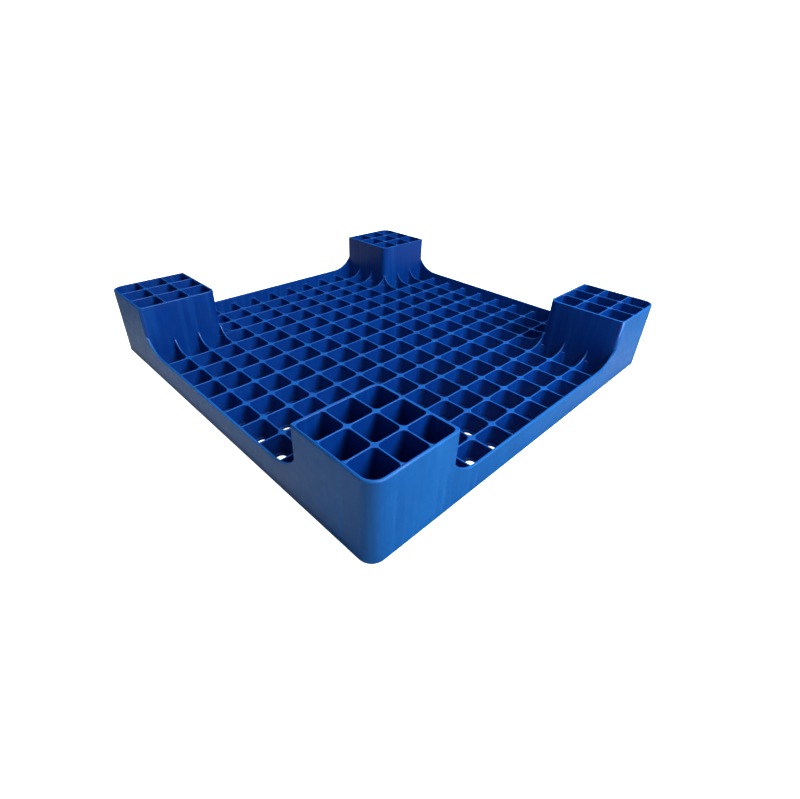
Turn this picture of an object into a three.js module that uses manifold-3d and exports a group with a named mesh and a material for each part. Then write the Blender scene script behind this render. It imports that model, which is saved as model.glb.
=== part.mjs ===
// Four-footed plastic pallet, lying on its load face with its feet up.
// Millimetres, +Z up. The origin is the middle of the load face, and the sides run along X and Y.
// Front is -Y, back is +Y, left is -X and right is +X.
import * as THREE from "three";
import { mergeVertices } from "three/addons/utils/BufferGeometryUtils.js";
import Module from "manifold-3d";

// Overall size
const SIDE = 900;
const HEIGHT = 155;
const CORNER_R = 26;
const EDGE_R = 3;
const GAP = 0.3;
const CUT_PER_RADIUS = 0.7;

// Deck: a flat panel with openings, a lattice of ribs behind it and a low skirt round it
const PANEL_T = 5;
const RIB_TOP = 43;
const RIB_T = 3.5;
const SKIRT_TOP = 58;
const WALL = 5;
const CELL_R = 11;
const OPENING_LEDGE = 4.5;
const OPENING_R = 10;
const CORNER_LEDGE = 6;

// Feet: square boxes open at the end, with a three by three web inside
const FOOT = 174;
const FOOT_CELLS = 3;
const FOOT_INNER_R = 16;
const FOOT_SIDE_R = 8;
const FOOT_CELL_R = 9;
const WEB_T = 3;
const BLUNT = 1;
const MIDDLE_CELLS = 9;

// Curved roots, where the skirt and the ribs climb onto a foot along a circle
const ROOT_L = 60;
const ROOT_R = 78;
const GUSSET_L = 36;
const GUSSET_R = 38;
const GUSSET_TIP = 0.5;

const HALF = SIDE / 2;
const INSIDE = HALF - WALL;
const FOOT_FACE = HALF - FOOT;
const FOOT_LINE = FOOT_FACE + WALL / 2;

const wasm = await Module();
wasm.setup();

// ---- helpers -------------------------------------------------------------------------------

// A three.js geometry as a manifold-3d solid.
function solid(geometry) {
  geometry.deleteAttribute("normal");
  geometry.deleteAttribute("uv");
  const merged = mergeVertices(geometry, 1e-4);
  const vertProperties = merged.attributes.position.array;
  const triVerts = new Uint32Array(merged.index.array);
  return new wasm.Manifold(new wasm.Mesh({ numProp: 3, vertProperties, triVerts }));
}

// One or more outlines, swept straight up from z = low to z = high.
function prism(shapes, low, high, corner = 1) {
  const options = { depth: high - low, bevelEnabled: false, curveSegments: corner };
  const geometry = new THREE.ExtrudeGeometry(shapes, options);
  geometry.translate(0, 0, low);
  return solid(geometry);
}

// A rectangle with rounded corners. r is one radius, or four, in turn from the low x, low y corner
// through high x, low y.
function roundedRectangle(x0, y0, x1, y1, r) {
  const [a, b, c, d] = Array.isArray(r) ? r : [r, r, r, r];
  const shape = new THREE.Shape();
  shape.moveTo(x0 + a, y0);
  shape.lineTo(x1 - b, y0);
  shape.absarc(x1 - b, y0 + b, b, -Math.PI / 2, 0);
  shape.lineTo(x1, y1 - c);
  shape.absarc(x1 - c, y1 - c, c, 0, Math.PI / 2);
  shape.lineTo(x0 + d, y1);
  shape.absarc(x0 + d, y1 - d, d, Math.PI / 2, Math.PI);
  shape.lineTo(x0, y0 + a);
  shape.absarc(x0 + a, y0 + a, a, Math.PI, Math.PI * 1.5);
  return shape;
}

// A rectangle with its corners cut off at 45 degrees, as a light stand-in for a small radius.
function cutRectangle(x0, y0, x1, y1, radius) {
  const cut = radius * CUT_PER_RADIUS;
  const shape = new THREE.Shape();
  shape.moveTo(x0 + cut, y0);
  shape.lineTo(x1 - cut, y0);
  shape.lineTo(x1, y0 + cut);
  shape.lineTo(x1, y1 - cut);
  shape.lineTo(x1 - cut, y1);
  shape.lineTo(x0 + cut, y1);
  shape.lineTo(x0, y1 - cut);
  shape.lineTo(x0, y0 + cut);
  return shape;
}

function box(x0, y0, z0, x1, y1, z1) {
  const geometry = new THREE.BoxGeometry(x1 - x0, y1 - y0, z1 - z0);
  geometry.translate((x0 + x1) / 2, (y0 + y1) / 2, (z0 + z1) / 2);
  return solid(geometry);
}

// A fin that stands on a wall or rib along X. From z = top at x = end it sweeps up along a circle
// as it runs `length` back towards the foot, and from there it reaches `buried` into the foot.
function sweptFin(end, length, buried, y, thickness, low, top, radius) {
  const steep = Math.asin(length / radius);
  const rise = radius * (1 - Math.cos(steep));
  const start = end - length;
  const shape = new THREE.Shape();
  shape.moveTo(start - buried, low);
  shape.lineTo(end, low);
  shape.lineTo(end, top);
  shape.absarc(end, top + radius, radius, -Math.PI / 2, -Math.PI / 2 - steep, true);
  shape.lineTo(start - buried, top + rise);
  const options = { depth: thickness, bevelEnabled: false, curveSegments: 4 };
  const geometry = new THREE.ExtrudeGeometry(shape, options);
  geometry.rotateX(Math.PI / 2);
  geometry.translate(0, y + thickness / 2, 0);
  return solid(geometry);
}

const swapXY = (made) => made.rotate([0, 0, 90]).mirror([1, 0, 0]);

// ---- the grid of rib lines -----------------------------------------------------------------

// Centre lines of the ribs across the deck: three cells to each foot, the rest in between.
function ribLines() {
  const footPitch = (HALF - WALL / 2 - FOOT_LINE) / FOOT_CELLS;
  const middlePitch = (2 * FOOT_LINE) / MIDDLE_CELLS;
  const lines = [];
  for (let i = FOOT_CELLS - 1; i > 0; i--) lines.push(-FOOT_LINE - i * footPitch);
  for (let i = 0; i <= MIDDLE_CELLS; i++) lines.push(-FOOT_LINE + i * middlePitch);
  for (let i = 1; i < FOOT_CELLS; i++) lines.push(FOOT_LINE + i * footPitch);
  return lines;
}

const LINES = ribLines();
const CELLS = LINES.length + 1;
const LAST_FOOT_CELL = FOOT_CELLS - 1;

// The clear span of cell i between two ribs of that thickness, or between a rib and the outer wall.
function span(i, thickness = RIB_T) {
  const low = i === 0 ? -INSIDE : LINES[i - 1] + thickness / 2;
  const high = i === CELLS - 1 ? INSIDE : LINES[i] - thickness / 2;
  return [low, high];
}

const isFootCell = (i) => i <= LAST_FOOT_CELL || i >= CELLS - FOOT_CELLS;
const isBesideFootCell = (i) => i === FOOT_CELLS || i === CELLS - 1 - FOOT_CELLS;

// The span of cell i, run on past the outer wall when the cell stands in the corner between the
// skirt and a foot. No rib ends in that corner, so it gets no fillet.
function latticeSpan(i, across) {
  const reach = isBesideFootCell(across) ? 2 * CELL_R : 0;
  const [low, high] = span(i);
  return [low - (i === 0 ? reach : 0), high + (i === CELLS - 1 ? reach : 0)];
}

// ---- pieces --------------------------------------------------------------------------------

// The whole pallet's outer block, with its outer edges rounded. Outer walls are cut from it.
function outerBlock() {
  const h = HALF - EDGE_R;
  const options = {
    depth: HEIGHT - 2 * EDGE_R,
    bevelEnabled: true,
    bevelSize: EDGE_R,
    bevelThickness: EDGE_R,
    bevelSegments: 2,
    curveSegments: 4,
  };
  const shape = roundedRectangle(-h, -h, h, h, CORNER_R - EDGE_R);
  const geometry = new THREE.ExtrudeGeometry(shape, options);
  geometry.translate(0, 0, EDGE_R);
  return solid(geometry);
}

// The deck panel: its face is the load face, and it has one opening behind each cell.
function deckPanel() {
  const edge = INSIDE - GAP;
  const outline = roundedRectangle(-edge, -edge, edge, edge, CORNER_R - WALL - GAP);
  const openings = [];
  for (let i = 0; i < CELLS; i++) {
    for (let j = 0; j < CELLS; j++) {
      const [x0, x1] = span(i);
      const [y0, y1] = span(j);
      const corner = [i, j].every((k) => k === 0 || k === CELLS - 1);
      const e = corner ? CORNER_LEDGE : OPENING_LEDGE;
      openings.push(cutRectangle(x0 + e, y0 + e, x1 - e, y1 - e, OPENING_R));
    }
  }
  return prism(outline, 0, PANEL_T, 4).subtract(prism(openings, -1, PANEL_T + 1));
}

// The plan of a foot at the low x, low y corner, grown by `grow`. Its own corner there is square,
// because the outer block rounds it.
function footPlan(grow) {
  const low = -HALF - grow;
  const high = -FOOT_FACE + grow;
  const side = FOOT_SIDE_R + grow;
  return roundedRectangle(low, low, high, high, [grow, side, FOOT_INNER_R + grow, side]);
}

// A solid for one corner, repeated at all four corners of the pallet.
function atEachCorner(made) {
  const pair = made.add(made.mirror([1, 0, 0]));
  return pair.add(pair.mirror([0, 1, 0]));
}

// The lattice of ribs between the skirts and the feet.
function ribLattice() {
  const edge = INSIDE - GAP;
  const low = PANEL_T + GAP;
  const cells = [];
  for (let i = 0; i < CELLS; i++) {
    for (let j = 0; j < CELLS; j++) {
      if (isFootCell(i) && isFootCell(j)) continue;
      const [x0, x1] = latticeSpan(i, j);
      const [y0, y1] = latticeSpan(j, i);
      cells.push(cutRectangle(x0, y0, x1, y1, CELL_R));
    }
  }
  const feet = atEachCorner(prism(footPlan(GAP), 0, HEIGHT, 3));
  const outline = roundedRectangle(-edge, -edge, edge, edge, CORNER_R - WALL - GAP);
  return prism(outline, low, RIB_TOP, 4).subtract(prism(cells, 0, HEIGHT)).subtract(feet);
}

// A foot at the low x, low y corner: its box, the two curved ends of the skirt that run into it,
// and the gussets that stand on the ribs against its inner sides.
function footShell(block) {
  const tower = prism(footPlan(0), 0, HEIGHT, 3);
  const bore = footBore(0);
  const rootEnd = ROOT_L - FOOT_FACE;
  const rootY = -HALF + WALL / 2;
  let fins = sweptFin(rootEnd, ROOT_L + FOOT_SIDE_R, FOOT_SIDE_R, rootY, WALL, 0, SKIRT_TOP, ROOT_R);
  for (const line of LINES.slice(0, FOOT_CELLS)) {
    const low = RIB_TOP + GAP;
    const top = low + GUSSET_TIP;
    fins = fins.add(sweptFin(GUSSET_L - FOOT_FACE, GUSSET_L, FOOT_INNER_R, line, RIB_T, low, top, GUSSET_R));
  }
  const panelRoom = roundedRectangle(-INSIDE, -INSIDE, 0, 0, CORNER_R - WALL);
  const slab = prism(panelRoom, -1, PANEL_T + GAP, 3);
  return tower.add(fins).add(swapXY(fins)).intersect(block).subtract(bore).subtract(slab);
}

// The hollow inside a foot at the low x, low y corner, shrunk by `shrink` on every side.
function footBore(shrink) {
  const low = -INSIDE + shrink;
  const high = -FOOT_FACE - WALL - shrink;
  const corner = FOOT_CELL_R - shrink;
  const radii = [CORNER_R - WALL - shrink, corner, FOOT_INNER_R - WALL - shrink, corner];
  return prism(roundedRectangle(low, low, high, high, radii), -1, HEIGHT + 1, 3);
}

// The web inside a foot at the low x, low y corner, which parts it into open cells. Each cell
// runs a little past the bore's wall, so that the fillets where the web meets the wall end blunt.
function footWeb() {
  const cells = [];
  for (let i = 0; i < FOOT_CELLS; i++) {
    for (let j = 0; j < FOOT_CELLS; j++) {
      const [x0, x1] = span(i, WEB_T);
      const [y0, y1] = span(j, WEB_T);
      const left = x0 - (i === 0 ? BLUNT : 0);
      const low = y0 - (j === 0 ? BLUNT : 0);
      cells.push(roundedRectangle(left, low, x1, y1, FOOT_CELL_R));
    }
  }
  const room = box(-HALF, -HALF, PANEL_T + GAP, 0, 0, HEIGHT);
  return footBore(GAP).intersect(room).subtract(prism(cells, 0, HEIGHT + 1, 2));
}

// The straight skirt along the front, between the curved roots of two feet.
function skirt(block) {
  const end = FOOT_FACE - ROOT_L - GAP;
  return box(-end, -HALF, 0, end, -INSIDE, SKIRT_TOP).intersect(block);
}

// ---- the pallet ----------------------------------------------------------------------------

const pallet = new THREE.Group();
pallet.name = "plastic_pallet";

function addPiece(name, made, colour, roughness) {
  const from = made.getMesh();
  const geometry = new THREE.BufferGeometry();
  geometry.setAttribute("position", new THREE.BufferAttribute(from.vertProperties, 3));
  geometry.setIndex(new THREE.BufferAttribute(from.triVerts, 1));
  const flat = geometry.toNonIndexed();
  flat.computeVertexNormals();
  const material = new THREE.MeshStandardMaterial({ color: colour, roughness, metalness: 0 });
  const mesh = new THREE.Mesh(flat, material);
  mesh.name = name;
  pallet.add(mesh);
}

const BLUE = 0x1457ad;
const block = outerBlock();

addPiece("deck_panel", deckPanel(), BLUE, 0.45);
addPiece("rib_lattice", ribLattice(), BLUE, 0.4);

const front = skirt(block);
["front", "right", "back", "left"].forEach((side, k) => {
  addPiece("skirt_" + side, front.rotate([0, 0, 90 * k]), BLUE, 0.35);
});

const shell = footShell(block);
const web = footWeb();
["front_left", "front_right", "back_right", "back_left"].forEach((corner, k) => {
  addPiece("foot_" + corner, shell.rotate([0, 0, 90 * k]), BLUE, 0.35);
  addPiece("foot_web_" + corner, web.rotate([0, 0, 90 * k]), BLUE, 0.4);
});

export default pallet;
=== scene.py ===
import math

import bmesh
import bpy
from mathutils import Matrix, Vector


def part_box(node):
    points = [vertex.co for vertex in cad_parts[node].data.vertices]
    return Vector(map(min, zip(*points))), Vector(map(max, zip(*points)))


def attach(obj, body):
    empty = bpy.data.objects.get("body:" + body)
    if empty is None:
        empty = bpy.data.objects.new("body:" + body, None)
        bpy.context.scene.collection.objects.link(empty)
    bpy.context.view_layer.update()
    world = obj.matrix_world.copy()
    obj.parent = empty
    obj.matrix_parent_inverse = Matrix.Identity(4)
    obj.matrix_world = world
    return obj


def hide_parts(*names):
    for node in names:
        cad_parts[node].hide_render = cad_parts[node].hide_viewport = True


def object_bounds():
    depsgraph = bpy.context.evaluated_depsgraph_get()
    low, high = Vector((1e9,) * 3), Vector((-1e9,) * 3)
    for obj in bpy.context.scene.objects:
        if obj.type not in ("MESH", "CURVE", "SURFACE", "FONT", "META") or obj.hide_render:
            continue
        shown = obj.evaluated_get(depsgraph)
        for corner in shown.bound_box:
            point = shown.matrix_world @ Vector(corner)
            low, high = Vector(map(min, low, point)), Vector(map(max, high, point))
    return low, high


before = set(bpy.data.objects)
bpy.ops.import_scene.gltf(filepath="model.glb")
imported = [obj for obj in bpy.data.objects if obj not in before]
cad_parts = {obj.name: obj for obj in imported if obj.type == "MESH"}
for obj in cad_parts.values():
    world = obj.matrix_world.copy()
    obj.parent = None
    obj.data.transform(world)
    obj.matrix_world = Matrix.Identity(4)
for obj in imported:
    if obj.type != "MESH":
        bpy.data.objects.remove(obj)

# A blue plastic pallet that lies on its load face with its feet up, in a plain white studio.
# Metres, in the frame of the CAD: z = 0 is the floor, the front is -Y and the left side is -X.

MM = 0.001
CAD_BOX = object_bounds()

# ---- sizes ---------------------------------------------------------------------------------

# Sizes that the frame gives.
HALF = CAD_BOX[1].x
HEIGHT = CAD_BOX[1].z
PANEL_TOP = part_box("deck_panel")[1].z
RIB_LOW, RIB_TOP = (corner.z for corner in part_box("rib_lattice"))
GAP = RIB_LOW - PANEL_TOP
SKIRT_LOW, SKIRT_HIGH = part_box("skirt_front")
WALL = SKIRT_HIGH.y - SKIRT_LOW.y
INSIDE = HALF - WALL
FOOT_FACE = -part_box("foot_web_front_left")[1].x - WALL - GAP
FOOT_LINE = FOOT_FACE + WALL / 2

# Sizes that the CAD source also uses.
FOOT_CELLS = 3
MIDDLE_CELLS = 9
RIB_T = 3.5 * MM
WEB_T = 3 * MM
CORNER_R = 26 * MM
CELL_R = 11 * MM
FOOT_INNER_R = 16 * MM
FOOT_CELL_R = 9 * MM
OPENING_LEDGE = 4.5 * MM
CORNER_LEDGE = 6 * MM
OPENING_R = 10 * MM
BLUNT = 1 * MM

# The fine shape that only this model has. A rim's rounding stops at RIM_END, short of level, so
# that its cutter can run on upwards.
DRAFT = math.tan(math.radians(0.7))
RIM_ROUND = 0.9 * MM
PANEL_ROUND = 0.7 * MM
EDGE_ROUND = 0.8 * MM
EDGE_STEPS = 2
CORNER_STEPS = 6
RIM_STEPS = 3
RIM_END = math.radians(78)

# Limits for working on the meshes: how far cutters run past what they cut, the shortest edge that
# may lie beside a rounded one, and which angles count as flat, as smooth and as sharp.
CLEAR = 2 * MM
ROUNDING_ROOM = 1.7 * MM
SAME_PLACE = 0.002 * MM
FLAT_BELOW = math.radians(0.6)
SMOOTH_BELOW = math.radians(34)
SHARP_ABOVE = math.radians(50)

SIDES = ("front", "right", "back", "left")
CORNERS = ("front_left", "front_right", "back_right", "back_left")

# ---- mesh helpers --------------------------------------------------------------------------


def rounded(x0, y0, x1, y1, radii):
    """Points round a rectangle with rounded corners, from the low x, low y corner through high x."""
    r = radii if isinstance(radii, tuple) else (radii,) * 4
    centres = (
        (x0 + r[0], y0 + r[0], math.pi),
        (x1 - r[1], y0 + r[1], 1.5 * math.pi),
        (x1 - r[2], y1 - r[2], 0.0),
        (x0 + r[3], y1 - r[3], 0.5 * math.pi),
    )
    points = []
    for (cx, cy, start), radius in zip(centres, r):
        for k in range(CORNER_STEPS + 1):
            a = start + 0.5 * math.pi * k / CORNER_STEPS
            points.append((cx + radius * math.cos(a), cy + radius * math.sin(a)))
    return points


def add_loft(bm, rings):
    """Adds a closed solid through rings of (outline, z), which all have the same number of points."""
    loops = [[bm.verts.new((x, y, z)) for x, y in outline] for outline, z in rings]
    bm.faces.new(reversed(loops[0]))
    bm.faces.new(loops[-1])
    count = len(loops[0])
    for lower, upper in zip(loops, loops[1:]):
        for k in range(count):
            n = (k + 1) % count
            bm.faces.new((lower[k], lower[n], upper[n], upper[k]))


def new_object(name, bm):
    mesh = bpy.data.meshes.new(name)
    bm.to_mesh(mesh)
    bm.free()
    obj = bpy.data.objects.new(name, mesh)
    bpy.context.scene.collection.objects.link(obj)
    return obj


def prism(name, outlines, low, high):
    """A new object of upright solids, one over each outline."""
    bm = bmesh.new()
    for outline in outlines:
        add_loft(bm, [(outline, low), (outline, high)])
    return new_object(name, bm)


def tapered_cells(name, rectangles, low, high, rim):
    """Cutters for moulded cells: each narrows downwards by the draft, and its upper rim is rounded."""
    # How much wider than its rectangle a cutter is, and at what height.
    widths = [(-DRAFT * (high - low), low - CLEAR)]
    for k in range(RIM_STEPS + 1):
        a = RIM_END * k / RIM_STEPS
        widths.append((rim * (1 - math.cos(a)), high - rim + rim * math.sin(a)))
    by, top = widths[-1]
    widths.append((by + CLEAR / math.tan(RIM_END), top + CLEAR))

    bm = bmesh.new()
    for x0, y0, x1, y1, r in rectangles:
        add_loft(bm, [(rounded(x0 - by, y0 - by, x1 + by, y1 + by, r + by), z) for by, z in widths])
    return new_object(name, bm)


def cut(obj, cutter):
    """Cuts the cutter out of obj for good, and removes the cutter."""
    modifier = obj.modifiers.new("cut", "BOOLEAN")
    modifier.operation = "DIFFERENCE"
    modifier.solver = "EXACT"
    modifier.object = cutter
    made = bpy.data.meshes.new_from_object(obj.evaluated_get(bpy.context.evaluated_depsgraph_get()))
    obj.modifiers.clear()
    obj.data = made
    bpy.data.objects.remove(cutter)


def finish_piece(obj, node, material):
    """Smooths obj, gives it its material, and lets it stand for that CAD node on the pallet's body."""
    mesh = obj.data
    mesh.shade_smooth()
    mesh.set_sharp_from_angle(angle=SMOOTH_BELOW)
    normals = obj.modifiers.new("even_normals", "WEIGHTED_NORMAL")
    normals.keep_sharp = True
    mesh.materials.clear()
    mesh.materials.append(material)
    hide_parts(node)
    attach(obj, "root")


# ---- the grid of ribs ----------------------------------------------------------------------


def rib_lines():
    """Centre lines of the ribs: three cells to each foot, and the rest evenly in between."""
    foot_pitch = (HALF - WALL / 2 - FOOT_LINE) / FOOT_CELLS
    middle_pitch = 2 * FOOT_LINE / MIDDLE_CELLS
    lines = [-FOOT_LINE - k * foot_pitch for k in range(FOOT_CELLS - 1, 0, -1)]
    lines += [-FOOT_LINE + k * middle_pitch for k in range(MIDDLE_CELLS + 1)]
    lines += [FOOT_LINE + k * foot_pitch for k in range(1, FOOT_CELLS)]
    return lines


LINES = rib_lines()
CELLS = len(LINES) + 1
FOOT_INDICES = set(range(FOOT_CELLS)) | set(range(CELLS - FOOT_CELLS, CELLS))
BESIDE_FOOT = {FOOT_CELLS, CELLS - 1 - FOOT_CELLS}


def span(i, thickness=RIB_T):
    """The clear span of cell i between two ribs of that thickness, or between a rib and the wall."""
    low = -INSIDE if i == 0 else LINES[i - 1] + thickness / 2
    high = INSIDE if i == CELLS - 1 else LINES[i] - thickness / 2
    return low, high


def lattice_span(i, across):
    """The span of cell i, run on past the skirt where the cell stands between the skirt and a foot."""
    reach = 2 * CELL_R if across in BESIDE_FOOT else 0.0
    low, high = span(i)
    return low - (reach if i == 0 else 0.0), high + (reach if i == CELLS - 1 else 0.0)


# ---- pieces --------------------------------------------------------------------------------


def inner_outline():
    """The plan of the room inside the skirt, less the gap."""
    edge = INSIDE - GAP
    return rounded(-edge, -edge, edge, edge, CORNER_R - WALL - GAP)


def foot_plans():
    """The plans of the four feet, grown by the gap, as they are cut out of the lattice."""
    plans = []
    low, high = FOOT_FACE - GAP, HALF + CLEAR
    # For each foot, the side of the middle that it lies on, and which corner of its plan is innermost.
    for sx, sy, inner in ((-1, -1, 2), (-1, 1, 1), (1, -1, 3), (1, 1, 0)):
        x0, x1 = sorted((sx * low, sx * high))
        y0, y1 = sorted((sy * low, sy * high))
        radii = [CLEAR] * 4
        radii[inner] = FOOT_INNER_R + GAP
        plans.append(rounded(x0, y0, x1, y1, tuple(radii)))
    return plans


def build_deck_panel(material):
    panel = prism("deck_panel_openwork", [inner_outline()], 0.0, PANEL_TOP)
    openings = []
    for i in range(CELLS):
        for j in range(CELLS):
            corner = all(k in (0, CELLS - 1) for k in (i, j))
            ledge = CORNER_LEDGE if corner else OPENING_LEDGE
            (x0, x1), (y0, y1) = span(i), span(j)
            openings.append((x0 + ledge, y0 + ledge, x1 - ledge, y1 - ledge, OPENING_R))
    cut(panel, tapered_cells("openings", openings, 0.0, PANEL_TOP, PANEL_ROUND))
    finish_piece(panel, "deck_panel", material)


def build_rib_lattice(material):
    lattice = prism("rib_lattice_moulded", [inner_outline()], RIB_LOW, RIB_TOP)
    cut(lattice, prism("feet", foot_plans(), -CLEAR, HEIGHT))
    cells = []
    for i in range(CELLS):
        for j in range(CELLS):
            if i in FOOT_INDICES and j in FOOT_INDICES:
                continue
            (x0, x1), (y0, y1) = lattice_span(i, j), lattice_span(j, i)
            cells.append((x0, y0, x1, y1, CELL_R))
    cut(lattice, tapered_cells("cells", cells, RIB_LOW, RIB_TOP, RIM_ROUND))
    finish_piece(lattice, "rib_lattice", material)


def build_foot_webs(material):
    """The web inside each foot, made for the front left foot and turned to the other corners."""
    low = -INSIDE + GAP
    high = -FOOT_FACE - WALL - GAP
    side = FOOT_CELL_R - GAP
    bore = rounded(low, low, high, high, (CORNER_R - WALL - GAP, side, FOOT_INNER_R - WALL - GAP, side))
    cells = []
    for i in range(FOOT_CELLS):
        for j in range(FOOT_CELLS):
            (x0, x1), (y0, y1) = span(i, WEB_T), span(j, WEB_T)
            x0 -= BLUNT if i == 0 else 0.0
            y0 -= BLUNT if j == 0 else 0.0
            cells.append((x0, y0, x1, y1, FOOT_CELL_R))
    web = prism("web", [bore], RIB_LOW, HEIGHT)
    cut(web, tapered_cells("web_cells", cells, RIB_LOW, HEIGHT, RIM_ROUND))
    for k, corner in enumerate(CORNERS):
        mesh = web.data.copy()
        mesh.transform(Matrix.Rotation(k * math.pi / 2, 4, "Z"))
        obj = bpy.data.objects.new("foot_web_moulded_" + corner, mesh)
        bpy.context.scene.collection.objects.link(obj)
        finish_piece(obj, "foot_web_" + corner, material)
    bpy.data.objects.remove(web)


def on_seam(edge):
    """Whether an edge lies in a plane where a skirt meets the root of a foot."""
    a, b = (v.co for v in edge.verts)
    return any(abs(abs(a[k]) - SKIRT_HIGH.x) < 2 * GAP and abs(a[k] - b[k]) < GAP for k in (0, 1))


def takes_rounding(edge):
    """Whether an edge is convex and sharp, lies off the seams and has room beside it to be rounded."""
    if len(edge.link_faces) != 2 or edge.calc_face_angle_signed() < SHARP_ABOVE or on_seam(edge):
        return False
    beside = {other for vert in edge.verts for other in vert.link_edges}
    return min(other.calc_length() for other in beside) > ROUNDING_ROOM


def build_rounded_copy(node, name, material):
    """A copy of a CAD node whose flat faces are whole again and whose sharp edges are rounded."""
    bm = bmesh.new()
    bm.from_mesh(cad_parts[node].data)
    bmesh.ops.remove_doubles(bm, verts=bm.verts, dist=SAME_PLACE)
    bmesh.ops.dissolve_limit(bm, angle_limit=FLAT_BELOW, verts=bm.verts, edges=bm.edges)
    weight = bm.edges.layers.float.new("bevel_weight_edge")
    for edge in bm.edges:
        edge[weight] = 1.0 if takes_rounding(edge) else 0.0
    obj = new_object(name, bm)
    bevel = obj.modifiers.new("rounded_edges", "BEVEL")
    bevel.limit_method = "WEIGHT"
    bevel.width = EDGE_ROUND
    bevel.segments = EDGE_STEPS
    bevel.use_clamp_overlap = False
    bevel.loop_slide = False
    finish_piece(obj, node, material)


# ---- materials -----------------------------------------------------------------------------


class Nodes:
    """A material's node tree, with a short way to add and join nodes."""

    def __init__(self, name):
        self.material = bpy.data.materials.new(name)
        self.material.use_nodes = True
        self.tree = self.material.node_tree
        self.shader = self.tree.nodes["Principled BSDF"]

    def add(self, kind, inputs=None, **settings):
        node = self.tree.nodes.new(kind)
        for key, value in settings.items():
            setattr(node, key, value)
        for key, value in (inputs or {}).items():
            self.put(value, node.inputs[key])
        return node

    def put(self, value, socket):
        if isinstance(value, bpy.types.NodeSocket):
            self.tree.links.new(value, socket)
        else:
            socket.default_value = value

    def noise(self, position, scale, detail=2.0, stretch=None):
        if stretch:
            mapping = self.add("ShaderNodeMapping", {"Vector": position, "Scale": stretch})
            position = mapping.outputs["Vector"]
        inputs = {"Vector": position, "Scale": scale, "Detail": detail}
        return self.add("ShaderNodeTexNoise", inputs).outputs["Fac"]

    def remap(self, value, low, high, to_low=0.0, to_high=1.0):
        inputs = {"Value": value, "From Min": low, "From Max": high, "To Min": to_low, "To Max": to_high}
        return self.add("ShaderNodeMapRange", inputs).outputs["Result"]

    def mix(self, factor, first, second):
        node = self.add("ShaderNodeMix", data_type="RGBA")
        self.put(factor, node.inputs[0])
        self.put(first, node.inputs[6])
        self.put(second, node.inputs[7])
        return node.outputs[2]

    def maths(self, operation, first, second):
        node = self.add("ShaderNodeMath", operation=operation)
        self.put(first, node.inputs[0])
        self.put(second, node.inputs[1])
        return node.outputs[0]

    def vectors(self, operation, *values):
        node = self.add("ShaderNodeVectorMath", operation=operation)
        for k, value in enumerate(values):
            self.put(value, node.inputs[k])
        return node


# The plastic has a main colour, a deeper one for its clouds and a paler one for its streaks, for edges
# pale from rubbing and for faces that look up; on faces that look up the paleness is painted light from
# above.
# The inner blues are for the plastic inside; the outer blues, paler and greener, are for the outer skin
# and are painted light: they stand in for the lit outer faces against the shaded walls inside.
INNER_BLUES = (0.0004, 0.046, 0.25, 1), (0.0003, 0.037, 0.21, 1), (0.002, 0.100, 0.35, 1)
LIT_OUTER_BLUES = (0.0006, 0.100, 0.33, 1), (0.0004, 0.078, 0.27, 1), (0.004, 0.135, 0.40, 1)
SKIN = 3 * MM

# Noise scales. The streaks are drawn out along Z.
CLOUDS = 7.0
STREAKS = (110.0, 110.0, 4.0)
SCUFFS = 60.0
GRAIN = 1400.0

# The values between which a noise, or how far a face bends or looks up, takes effect.
NOISE_SPAN = (0.3, 0.7)
STREAK_SPAN = (0.48, 0.75)
STREAK_ROUGH_SPAN = (0.45, 0.8)
SCUFF_SPAN = (0.35, 0.65)
BEND_SPAN = (0.995, 0.85)
UP_SPAN = (0.4, 0.9)

RUBBED_REACH = 1.6 * MM
ROUGHER_RUBBED = 0.3
ROUGHER_STREAKS = 0.12
GLOSS = 0.5
GLOSS_RUBBED = 0.2
REFRACTION = 1.5
GRAIN_DEPTH = 0.05 * MM
STREAK_DEPTH = 0.4 * MM


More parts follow.
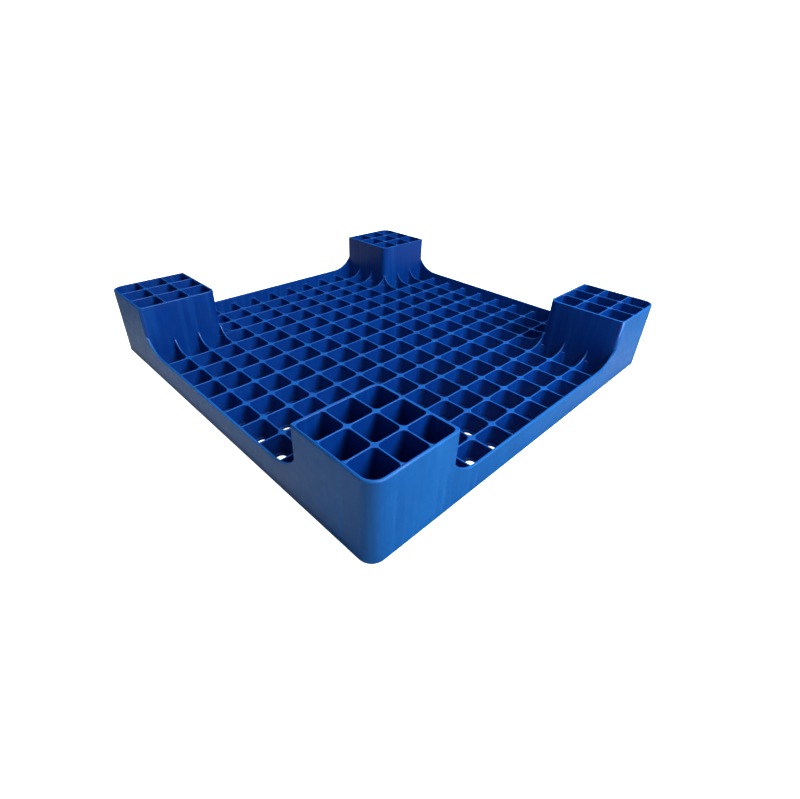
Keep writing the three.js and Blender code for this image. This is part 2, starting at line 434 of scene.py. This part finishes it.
def moulded_plastic(name, roughness, streaks, wear_and_lit_tops):
    """Satin polyethylene: cloudy colour, flow streaks down the walls, edges pale from rubbing, a painted
    highlight on faces that look up, and a fine grain.

    The outer skin of the pallet is paler and greener than the deep blue of the rest: painted light, for
    the lit outer faces against the shaded walls inside.
    """
    n = Nodes(name)
    position = n.add("ShaderNodeTexCoord").outputs["Object"]
    cloud = n.noise(position, CLOUDS, detail=3.0)
    streak = n.noise(position, 1.0, detail=4.0, stretch=STREAKS)
    grain = n.noise(position, GRAIN)
    scuff = n.noise(position, SCUFFS, detail=6.0)

    core = HALF - CORNER_R
    outward = n.vectors("ABSOLUTE", position).outputs["Vector"]
    for operation, limit in (("SUBTRACT", (core, core, core)), ("MAXIMUM", (0, 0, 0))):
        outward = n.vectors(operation, outward, limit).outputs["Vector"]
    reach = n.vectors("LENGTH", outward).outputs["Value"]
    # Painted light: near the outer faces the blues turn paler and greener, for the lit outer faces
    # against the shaded walls inside.
    skin = n.remap(reach, CORNER_R - SKIN, CORNER_R - SKIN / 3)
    main, deep, pale = (n.mix(skin, inner, outer) for inner, outer in zip(INNER_BLUES, LIT_OUTER_BLUES))
    cloudy = n.mix(n.remap(cloud, *NOISE_SPAN), deep, main)
    streaky = n.mix(n.remap(streak, *STREAK_SPAN, 0.0, streaks), cloudy, pale)

    bevel = n.add("ShaderNodeBevel", {"Radius": RUBBED_REACH}, samples=4)
    geometry = n.add("ShaderNodeNewGeometry")
    bend = n.vectors("DOT_PRODUCT", bevel.outputs["Normal"], geometry.outputs["Normal"]).outputs["Value"]
    edge = n.remap(bend, *BEND_SPAN)
    facing = n.add("ShaderNodeSeparateXYZ", {"Vector": geometry.outputs["Normal"]})
    # Edges pale from rubbing are the plastic's own; faces that look up are paled as well, and that is
    # painted light from above.
    rubbed_edges_and_lit_tops = n.maths("MAXIMUM", edge, n.remap(facing.outputs["Z"], *UP_SPAN))
    paled_by_wear_and_light = n.maths("MULTIPLY", rubbed_edges_and_lit_tops, n.remap(scuff, *SCUFF_SPAN, 0.5 * wear_and_lit_tops, wear_and_lit_tops))
    n.put(n.mix(paled_by_wear_and_light, streaky, pale), n.shader.inputs["Base Color"])

    rough = n.maths("ADD", n.remap(scuff, *NOISE_SPAN, roughness - 0.05, roughness + 0.06),
                    n.remap(streak, *STREAK_ROUGH_SPAN, 0.0, ROUGHER_STREAKS * streaks))
    rough = n.maths("ADD", rough, n.maths("MULTIPLY", paled_by_wear_and_light, ROUGHER_RUBBED))
    n.put(rough, n.shader.inputs["Roughness"])
    n.put(n.remap(paled_by_wear_and_light, 0.0, 1.0, GLOSS, GLOSS_RUBBED), n.shader.inputs["Specular IOR Level"])
    n.put(REFRACTION, n.shader.inputs["IOR"])

    fine = n.add("ShaderNodeBump", {"Height": grain, "Strength": 0.12, "Distance": GRAIN_DEPTH})
    flow = n.add("ShaderNodeBump", {"Height": streak, "Strength": 0.35 * streaks,
                                    "Distance": STREAK_DEPTH, "Normal": fine.outputs["Normal"]})
    n.put(flow.outputs["Normal"], n.shader.inputs["Normal"])
    return n.material


# ---- studio --------------------------------------------------------------------------------

CAMERA_AT = Vector((-0.7286, -0.7460, 0.5490))
CAMERA_HEADING = math.radians(45.24)
CAMERA_PITCH = math.radians(-32.89)
CAMERA_ROLL = math.radians(1.50)
LENS = 21.04
LENS_SHIFT = (0.0210, -0.0041)
SENSOR = 36

FLOOR_SIZE = 12.0
FLOOR_BELOW = 0.2 * MM
FLOOR_GREY = (0.78, 0.82)
FLOOR_ROUGHNESS = 0.9
FLOOR_GLOW = 0.95
BACKDROP = 1.2
AMBIENT = 0.22

# What reflections see on the floor, by y - x and by the distance from the middle: it is bright to
# the left and to the right, dark off the near and far corners and under the pallet, and it fades
# with distance.
CARD_DARK = 0.06
CARD_LEFT = (0.0, 0.25, CARD_DARK, 0.37)
CARD_RIGHT = (-0.3, -0.9, CARD_DARK, 0.36)
CARD_START = (HALF + 1 * MM, HALF + 8 * MM)
CARD_FADE = (HALF + 20 * MM, HALF + 250 * MM, 1.3, 0.7)

# Name, place, point it faces, size and power of each lamp, and whether reflections show it.
LAMPS = (
    ("key_front", (0.3, -1.55, 1.35), (0.05, 0.0, 0.05), 1.0, 52, True),
    ("soft_top", (0.3, -0.2, 2.3), (0.0, 0.0, 0.0), 1.4, 25, True),
    ("fill_back", (1.4, 1.7, 0.6), (0.0, 0.0, 0.05), 1.2, 40, False),
)


def build_floor():
    """A white floor, which reflections see as a card with light and dark areas."""
    bm = bmesh.new()
    bmesh.ops.create_grid(bm, x_segments=8, y_segments=8, size=FLOOR_SIZE / 2)
    floor = new_object("studio_floor", bm)
    n = Nodes("white_floor")
    position = n.add("ShaderNodeTexCoord").outputs["Object"]
    tint = n.remap(n.noise(position, 3.0), *NOISE_SPAN, *FLOOR_GREY)
    n.put(n.add("ShaderNodeCombineColor", {"Red": tint, "Green": tint, "Blue": tint}).outputs[0],
          n.shader.inputs["Base Color"])
    n.put(FLOOR_ROUGHNESS, n.shader.inputs["Roughness"])
    path = n.add("ShaderNodeLightPath")
    seen = n.maths("MULTIPLY", path.outputs["Is Camera Ray"], FLOOR_GLOW)
    n.put((1, 1, 1, 1), n.shader.inputs["Emission Color"])
    n.put(seen, n.shader.inputs["Emission Strength"])

    place = n.add("ShaderNodeSeparateXYZ", {"Vector": position})
    x, y = place.outputs["X"], place.outputs["Y"]
    along = n.maths("SUBTRACT", y, x)
    left = n.remap(along, *CARD_LEFT)
    right = n.remap(along, *CARD_RIGHT)
    out = n.maths("MAXIMUM", n.maths("ABSOLUTE", x, 0.0), n.maths("ABSOLUTE", y, 0.0))
    beside = n.remap(out, *CARD_START)
    fade = n.remap(out, *CARD_FADE)
    glow = n.maths("MULTIPLY", n.maths("MULTIPLY", n.maths("MAXIMUM", left, right), fade), beside)
    card = n.add("ShaderNodeEmission", {"Strength": glow})
    either = n.add("ShaderNodeMixShader", {"Fac": path.outputs["Is Glossy Ray"]})
    n.put(n.shader.outputs["BSDF"], either.inputs[1])
    n.put(card.outputs["Emission"], either.inputs[2])
    n.put(either.outputs["Shader"], n.tree.nodes["Material Output"].inputs["Surface"])
    floor.data.materials.append(n.material)
    floor.location.z = -FLOOR_BELOW


def build_world():
    """White where the camera looks, and dim for everything else."""
    world = bpy.data.worlds.new("studio")
    bpy.context.scene.world = world
    world.use_nodes = True
    tree = world.node_tree
    background = tree.nodes["Background"]
    path = tree.nodes.new("ShaderNodeLightPath")
    strength = tree.nodes.new("ShaderNodeMix")
    tree.links.new(path.outputs["Is Camera Ray"], strength.inputs[0])
    strength.inputs[2].default_value = AMBIENT
    strength.inputs[3].default_value = BACKDROP
    background.inputs["Color"].default_value = (1, 1, 1, 1)
    tree.links.new(strength.outputs[0], background.inputs["Strength"])


def area_light(name, at, aim, size, energy, in_reflections):
    light = bpy.data.lights.new(name, "AREA")
    light.size = size
    light.energy = energy
    obj = bpy.data.objects.new(name, light)
    obj.location = at
    obj.rotation_euler = (Vector(aim) - Vector(at)).to_track_quat("-Z", "Y").to_euler()
    obj.visible_glossy = in_reflections
    bpy.context.scene.collection.objects.link(obj)


def build_camera():
    data = bpy.data.cameras.new("camera")
    data.sensor_width = SENSOR
    data.sensor_fit = "HORIZONTAL"
    data.lens = LENS
    data.shift_x, data.shift_y = LENS_SHIFT
    data.clip_start = 0.01
    camera = bpy.data.objects.new("camera", data)
    flat = Vector((math.cos(CAMERA_HEADING), math.sin(CAMERA_HEADING), 0)) * math.cos(CAMERA_PITCH)
    forward = flat + Vector((0, 0, math.sin(CAMERA_PITCH)))
    level = forward.cross(Vector((0, 0, 1))).normalized()
    right = Matrix.Rotation(-CAMERA_ROLL, 3, forward) @ level
    up = right.cross(forward)
    axes = Matrix((right, up, -forward)).transposed()
    camera.matrix_world = Matrix.Translation(CAMERA_AT) @ axes.to_4x4()
    bpy.context.scene.collection.objects.link(camera)
    bpy.context.scene.camera = camera


# ---- the scene -----------------------------------------------------------------------------

deck_plastic = moulded_plastic("deck_plastic", roughness=0.42, streaks=0.1, wear_and_lit_tops=0.1)
rib_plastic = moulded_plastic("rib_plastic", roughness=0.38, streaks=0.2, wear_and_lit_tops=0.85)
wall_plastic = moulded_plastic("wall_plastic", roughness=0.36, streaks=0.5, wear_and_lit_tops=0.85)

build_deck_panel(deck_plastic)
build_rib_lattice(rib_plastic)
build_foot_webs(rib_plastic)
for side in SIDES:
    build_rounded_copy("skirt_" + side, "skirt_moulded_" + side, wall_plastic)
for corner in CORNERS:
    build_rounded_copy("foot_" + corner, "foot_moulded_" + corner, wall_plastic)

build_floor()
build_world()
for lamp in LAMPS:
    area_light(*lamp)
build_camera()
bpy.context.scene.view_settings.view_transform = "Standard"
bpy.context.scene.view_settings.look = "Medium High Contrast"
